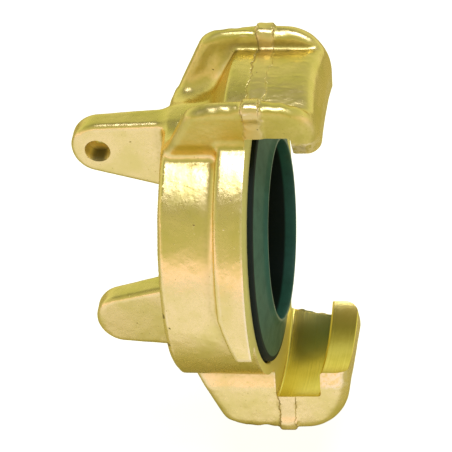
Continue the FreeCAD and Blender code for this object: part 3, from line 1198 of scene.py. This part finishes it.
@dataclass(frozen=True)
class Turning:
    """What the lathe takes away, from the claws' grooves and lips to the seat and the cavity."""

    clear: float = 30.0
    reach: float = 9.65
    lip_radius: float = 20.0
    lip_chamfer: float = 0.12
    groove_width: float = 6.0
    groove_chamfer: float = 0.25
    groove_radius: float = 23.4
    groove_round: float = 0.45
    face_round: float = 0.35
    mouth_radius: float = 17.85
    mouth_depth: float = 0.25
    seat_radius: float = 17.58
    undercut_from: float = 2.9
    undercut_radius: float = 17.93
    seat_depth: float = 4.6
    cavity_radius: float = 12.6
    cavity_depth: float = 8.3
    cavity_round: float = 0.8
    segments: int = 256

    def build(self) -> bpy.types.Object:
        """Turns the cutter.

        Returns:
            The cutter.
        """
        lip, groove = self.lip_radius, self.groove_width
        return turned("turning", softened([
            (self.clear, 0.0, 0), (self.clear, lip + self.lip_chamfer, 0),
            (self.reach, lip + self.lip_chamfer, 0), (self.reach - self.lip_chamfer, lip, 0),
            (groove + self.groove_chamfer, lip, 0), (groove, lip + self.groove_chamfer, 0),
            (groove, self.groove_radius, self.groove_round),
            (0.0, self.groove_radius, self.face_round), (0.0, self.mouth_radius, 0),
            (-self.mouth_depth, self.seat_radius, 0), (-self.undercut_from, self.seat_radius, 0),
            (-self.undercut_from, self.undercut_radius, 0),
            (-self.seat_depth, self.undercut_radius, 0), (-self.seat_depth, self.cavity_radius, 0),
            (-self.cavity_depth, self.cavity_radius, self.cavity_round),
            (-self.cavity_depth, 0.0, 0)]), self.segments)


@dataclass(frozen=True)
class Drill:
    """The eye's drill: it enters at the near face, and leaves a burr in the hole at the far one."""

    place: Point = (-21.05, 14.35)
    clear: float = 6.0
    shank: float = 3.2
    radius: float = 1.62
    edge: float = 0.1
    edge_flare: float = 0.12
    taper: float = 0.05
    burr: float = 0.66
    burr_steps: tuple[float, float, float] = (0.9, 0.45, 0.2)
    burr_flare: float = 0.1
    segments: int = 64

    def build(self, half: float) -> bpy.types.Object:
        """Turns the drill and puts it in its place.

        Args:
            half: Half the thickness of what it goes through.

        Returns:
            The cutter.
        """
        hole, (start, turn, foot) = self.radius - self.burr, self.burr_steps
        profile = [
            (-self.clear, 0.0), (-self.clear, self.shank),
            (-half - self.edge, self.radius + self.edge_flare), (-half + self.edge, self.radius),
            (half - start, self.radius - self.taper), (half - turn, hole + self.burr_flare),
            (half - foot, hole), (self.clear, hole), (self.clear, 0.0)]
        made = turned("drill", profile, self.segments)
        place = Vector((self.place[0], 0, self.place[1])) * MM
        made.data.transform(Matrix.Translation(place) @ Matrix.Rotation(math.pi / 2, 4, "Z"))
        return made


@dataclass
class CouplingBody:
    """The forged body with its turned front and the drilled eye."""

    drum: Drum = Drum()
    flange: Flange = Flange()
    claw: Claw = Claw()
    wing: Wing = Wing()
    turning: Turning = Turning()
    drill: Drill = Drill()
    flange_root: float = 1.2
    flange_end_root: float = 0.25
    flange_end_from: float = -1.6
    claw_root: float = 1.05
    wing_root: float = 1.2
    swell: Ripple = Ripple(3, 7.0)
    wrinkle: Ripple = Ripple(4, 2.5, 16)
    crest_ripple: Ripple = Ripple(21, 3.0)
    unevenness: float = 0.045
    crest_unevenness: float = 0.18
    crest_arch: float = 0.30
    arch_middle: float = 1.3
    arch_reach: float = 6.5
    low: tuple[float, float, float] = (-25.3, -22.9, -28.1)
    high: tuple[float, float, float] = (10.3, 22.9, 28.1)
    step: float = 0.3
    settling: int = 3
    crease_angle: float = 32.0
    cavities: tuple[Point, ...] = ((0.5, 0.4), (1.2, 0.8), (2.5, 1.0))
    ridges: tuple[Point, ...] = ((0.5, 1.0), (0.9, 0.7), (1.5, 0.7))
    flash_above: float = 20.0
    parting_above: float = 18.0
    rim_from: Point = (18.6, 18.9)
    rim_to: Point = (22.2, 22.4)
    saddle_above: Point = (25.0, 25.3)
    shaded_turn: Point = (0.5, 0.85)
    shaded_above: Point = (18.5, 20.0)

    def blank_distance(self, x: Array, y: Array, z: Array) -> Array:
        """Distance from the skin of the whole forging, before it is turned.

        Args:
            x, y, z: The points.

        Returns:
            Distance, below 0 inside.
        """
        made = self.drum.distance(x, y, z)
        for half in Half:
            there = (x, half.value * y, half.value * z)
            at_end = ease(self.flange.past_end(*there[1:]), self.flange_end_from, 0.0)
            root = self.flange_root + (self.flange_end_root - self.flange_root) * at_end
            made = join_round(made, self.flange.distance(*there), root)
            made = join_round(made, self.claw.distance(*there, half is Half.LOWER), self.claw_root)
            made = join_round(made, self.wing.distance(*there), self.wing_root)
        return made

    def skin_distance(self, x: Array, y: Array, z: Array) -> Array:
        """The same, with the slight unevenness that the dies leave, which only takes metal off.

        Args:
            x, y, z: The points.

        Returns:
            Distance, below 0 inside.
        """
        swell = self.swell.at(x, y, z) + 0.5 * self.wrinkle.at(x, y, z)
        crest = ease(np.abs(z), self.claw.crest - 1.6, self.claw.crest - 0.4)
        ripple = self.crest_unevenness * np.clip(self.crest_ripple.at(x, y, z), 0, 1)
        arch = self.crest_arch * np.clip(((x - self.arch_middle) / self.arch_reach) ** 2, 0, 1)
        off = self.unevenness * (0.5 + 0.5 * np.clip(swell, -1, 1)) * (1 - crest)
        return self.blank_distance(x, y, z) + off + (ripple + arch) * crest

    def _bend(self, points: Array, normal: Array, steps: Sequence[Point], side: float) -> Array:
        """How hollow or raised the forging is at points.

        Args:
            points: One row for each point.
            normal: The way in which the skin faces at each.
            steps: How far from the skin it is measured, and how much each measure counts.
            side: 1 to measure hollows from outside, and -1 to measure ridges from inside.

        Returns:
            0 on flat skin, and more the tighter the bend.
        """
        total = 0.0
        for reach, weight in steps:
            found = self.blank_distance(*(points + normal * reach * side).T)
            total = total + np.clip(reach - side * found, 0, None) / reach * weight
        return total

    def marks(self, made: bpy.types.Object, net: Net) -> None:
        """Writes what the skin's material reads on each point of the mesh.

        Args:
            made: The body.
            net: The net that its skin comes from.
        """
        points = np.zeros(len(made.data.vertices) * 3)
        made.data.vertices.foreach_get("co", points)
        points = points.reshape(-1, 3) / MM
        normal = net.normals(points)
        x, y, z = points.T
        radius = np.hypot(y, z)
        flash, parting = np.zeros(len(points)), np.zeros(len(points))
        for half in Half:
            there = (x, half.value * y, half.value * z)
            outside = self.claw.plain(*there)
            proud = ease(outside, 0.0, 0.12) * (there[2] > self.flash_above)
            flash = np.maximum(flash, proud * self.claw.flash(*there))
            close = ease(-outside, -0.6, -0.5) * (there[2] > self.parting_above)
            parting = np.maximum(parting, close)
        in_saddle = ease(self.claw.wall_top[0] + 0.2 - np.abs(y), 0.0, 0.6)
        across = np.abs(normal[:, 1])
        found = {
            # The hollowness, which the skin paints as shade.
            Mark.CAVITY: self._bend(points, normal, self.cavities, 1.0),
            Mark.RIDGE: self._bend(points, normal, self.ridges, -1.0),
            Mark.FLASH: flash,
            Mark.PARTING: parting,
            Mark.RIM: ease(radius, *self.rim_from) * (1 - ease(radius, *self.rim_to)),
            Mark.SADDLE: in_saddle * ease(radius, *self.saddle_above),
            # The upper claw's ends facing across, which the skin paints darker as shade.
            Mark.SHADED: ease(across, *self.shaded_turn) * ease(z, *self.shaded_above)}
        for mark, values in found.items():
            values = np.clip(values, 0, 1).astype(np.float32)
            made.data.attributes.new(mark.value, "FLOAT", "POINT").data.foreach_set("value", values)

    def build(self) -> bpy.types.Object:
        """Builds the body and puts it in the node's place.

        Returns:
            The body.
        """
        net = Net(self.low, self.high, self.step, self.blank_distance)
        net.distance = self.skin_distance
        net.settle(self.settling)
        blank = mesh_object("blank", net.points, net.quads)
        cutters = (self.turning.build(), self.drill.build(self.wing.tip_half))
        skin, bare = ForgedSkin().material(), TurnedBrass().material()
        for each, material in zip((blank, *cutters), (skin, bare, bare)):
            each.data.materials.append(material)
        made = cut(blank, cutters, "forged_coupling_body")
        crease(made, self.crease_angle)
        self.marks(made, net)
        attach(made, "root")
        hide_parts("coupling_body")
        LOG.info("%s: %d faces", made.name, len(made.data.polygons))
        return made


@dataclass
class SealRing:
    """The rubber ring: a foot in the seat's undercut, a sloping face and a thin lip at the bore."""

    bore: float = 11.8
    outer: float = 17.48
    foot: float = 17.83
    depth: float = 4.6
    rim: float = 0.55
    reach: float = 1.85
    lip: float = 0.5
    foot_front: float = 3.0
    crease_angle: float = 40.0
    segments: int = 256

    def profile(self) -> list[Point]:
        """The ring's section, from the bore's back round to its front.

        Returns:
            The section's points, along the axis and from it.
        """
        corners = [
            (-self.depth + 0.3, self.bore, 0), (-self.depth, self.bore + 0.15, 0.1),
            (-self.depth, self.foot, 0.25), (-self.foot_front, self.foot, 0.15),
            (-self.foot_front, self.outer, 0.1),
            (self.rim, self.outer, 0.3), (self.rim + 0.1, self.outer - 0.7, 1.5),
            (self.reach - 0.45, self.bore + 1.1, 1.5), (self.reach, self.bore + self.lip, 0.16),
            (self.reach, self.bore + 0.06, 0.12), (self.reach - 0.5, self.bore, 0)]
        return softened(corners, 5)

    def build(self) -> bpy.types.Object:
        """Builds the ring and puts it in the node's place.

        Returns:
            The ring.
        """
        made = turned("rubber_seal_ring", self.profile(), self.segments, closed=True)
        made.data.materials.append(MouldedRubber().material(self))
        crease(made, self.crease_angle)
        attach(made, "root")
        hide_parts("seal_ring")
        LOG.info("%s: %d faces", made.name, len(made.data.polygons))
        return made


@dataclass
class Studio:
    """The camera, the lamp, the pale floor and the world.

    The fields give the camera's axes and place, then the floor and the bands of it that brass
    mirrors as bright, then the room's light by height on the near and the far side, and the lamp.
    """

    right: tuple[float, float, float] = (0.98647, 0.12835, -0.10199)
    up: tuple[float, float, float] = (-0.00109, 0.62728, 0.77880)
    near: tuple[float, float, float] = (0.16394, -0.76815, 0.61893)
    shift_right: float = -5.612
    shift_up: float = 0.380
    away: float = 718.26
    lens: float = 433.4
    sensor: float = 36.0
    clip: tuple[float, float] = (0.01, 20.0)
    floor_drop: float = 9.0
    floor_half: float = 900.0
    floor_tone: Colour = (0.59, 0.56, 0.33)
    floor_seen: Colour = (0.748, 0.765, 0.85)
    floor_mirrored: Colour = (0.832, 0.848, 1.6)
    front_band: Point = (32.0, 44.0)
    wing_patch: tuple[Point, Point] = ((-17.0, -22.0), (-18.0, -24.0))
    claw_patch: tuple[Point, Point, Point] = ((-16.0, -12.0), (-24.0, -30.0), (-50.0, -44.0))
    near_room: Stops = (
        (0.50, (1.46, 1.14, 1.34)), (0.56, (1.36, 1.10, 1.22)), (0.64, (0.60, 0.61, 0.36)),
        (0.80, (0.60, 0.62, 0.34)), (0.925, (0.34, 0.34, 0.16)), (1.0, (0.30, 0.27, 0.14)))
    far_room: Stops = (
        (0.50, (0.72, 0.70, 0.50)), (0.60, (0.86, 0.92, 0.56)), (0.68, (0.74, 0.80, 0.46)),
        (0.80, (0.58, 0.62, 0.33)), (0.925, (0.20, 0.21, 0.08)), (1.0, (0.28, 0.25, 0.12)))
    room_sides: Point = (0.35, -0.25)
    lamp_elevation: float = 46.0
    lamp_distance: float = 0.60
    lamp_size: Point = (0.45, 0.31)
    lamp_level: float = 7.2
    lamp_colour: Colour = (0.68, 0.72, 1.0)

    def camera(self) -> None:
        """Stands the camera where the photograph was taken."""
        data = bpy.data.cameras.new("camera")
        data.lens, data.sensor_width = self.lens, self.sensor
        data.clip_start, data.clip_end = self.clip
        made = bpy.data.objects.new("camera", data)
        right, up, near = Vector(self.right), Vector(self.up), Vector(self.near)
        place = (right * self.shift_right + up * self.shift_up + near * self.away) * MM
        turn = Matrix((right, up, near)).transposed()
        made.matrix_world = Matrix.Translation(place) @ turn.to_4x4()
        bpy.context.scene.collection.objects.link(made)
        bpy.context.scene.camera = made

    def lamp(self) -> None:
        """Hangs the soft box over the camera, looking at the object.

        Its level is how bright its face is, where 1 is a white card's brightness.
        """
        data = bpy.data.lights.new("soft_box", "AREA")
        data.shape, (data.size, data.size_y) = "RECTANGLE", self.lamp_size
        data.color = self.lamp_colour
        data.energy = self.lamp_level * math.pi * self.lamp_size[0] * self.lamp_size[1]
        made = bpy.data.objects.new("soft_box", data)
        rise = math.radians(self.lamp_elevation)
        away = (Vector(self.up) * math.sin(rise) + Vector(self.near) * math.cos(rise)).normalized()
        side = Vector(self.right) - away * away.dot(Vector(self.right))
        side.normalize()
        turn = Matrix((side, away.cross(side), away)).transposed()
        made.matrix_world = Matrix.Translation(away * self.lamp_distance) @ turn.to_4x4()
        bpy.context.scene.collection.objects.link(made)

    def floor(self, lowest: float) -> None:
        """Lays a plain pale floor, which looks white in a picture and keeps the shadow.

        Args:
            lowest: The object's lowest point, in metres.
        """
        drop, half = lowest / MM - self.floor_drop, self.floor_half
        ends = ((-half, -half), (half, -half), (half, half), (-half, half))
        made = mesh_object("floor", np.array([(*end, drop) for end in ends]), [(0, 1, 2, 3)])
        surface = Surface("pale_floor", Base_Color=(*self.floor_tone, 1.0), Roughness=0.9,
                          Specular_IOR_Level=0.0, Emission_Strength=1.0)
        graph = surface.graph
        seen = graph.node("ShaderNodeLightPath", output="Is Camera Ray")
        mirrored = graph.node("ShaderNodeLightPath", output="Is Glossy Ray")
        x, y, _ = graph.parts(graph.place())
        wing_x, wing_y = self.wing_patch
        claw_x, claw_from, claw_to = self.claw_patch
        bright = (-y).span(*self.front_band).most(x.span(*wing_x) * y.span(*wing_y) * 0.52)
        bright = bright + x.span(*claw_x) * y.span(*claw_from) * y.span(*claw_to) * 0.5
        glow = graph.blend(bright * mirrored * 0.5, (0.0, 0.0, 0.0), self.floor_mirrored)
        glow = graph.blend(seen, glow, self.floor_seen)
        made.data.materials.append(surface.vary(Emission_Color=glow))
        made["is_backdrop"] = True

    def world(self) -> None:
        """Fills the room with even dim light, white where the camera looks past the floor."""
        world = bpy.data.worlds.new("room")
        world.use_nodes = True
        graph = Graph(world.node_tree)
        _, depth, height = graph.parts(graph.node("ShaderNodeTexCoord", output="Generated"))
        level = height * 0.5 + 0.5
        near, far = graph.ramp(level, self.near_room), graph.ramp(level, self.far_room)
        dim = graph.blend(depth.span(*self.room_sides), far, near)
        seen = graph.node("ShaderNodeLightPath", output="Is Camera Ray")
        shown = graph.blend(seen, dim, (1.0, 1.0, 1.0))
        light = graph.node("ShaderNodeBackground", None, {"Color": shown, "Strength": 1.0})
        graph.node("ShaderNodeOutputWorld", None, {"Surface": light})
        bpy.context.scene.world = world

    def build(self, lowest: float) -> None:
        """Sets up the whole studio.

        Args:
            lowest: The object's lowest point, in metres.
        """
        self.camera()
        self.floor(lowest)
        self.world()
        self.lamp()
        bpy.context.scene.view_settings.view_transform = "Standard"


def main() -> None:
    """Builds the coupling's pieces in order and reports them."""
    logging.basicConfig(level=logging.INFO, format="%(name)s: %(message)s")
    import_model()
    cad = [list(corner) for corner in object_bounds()]
    Studio().build(cad[0][2])
    CouplingBody().build()
    SealRing().build()


if __name__ == "__main__":
    main()
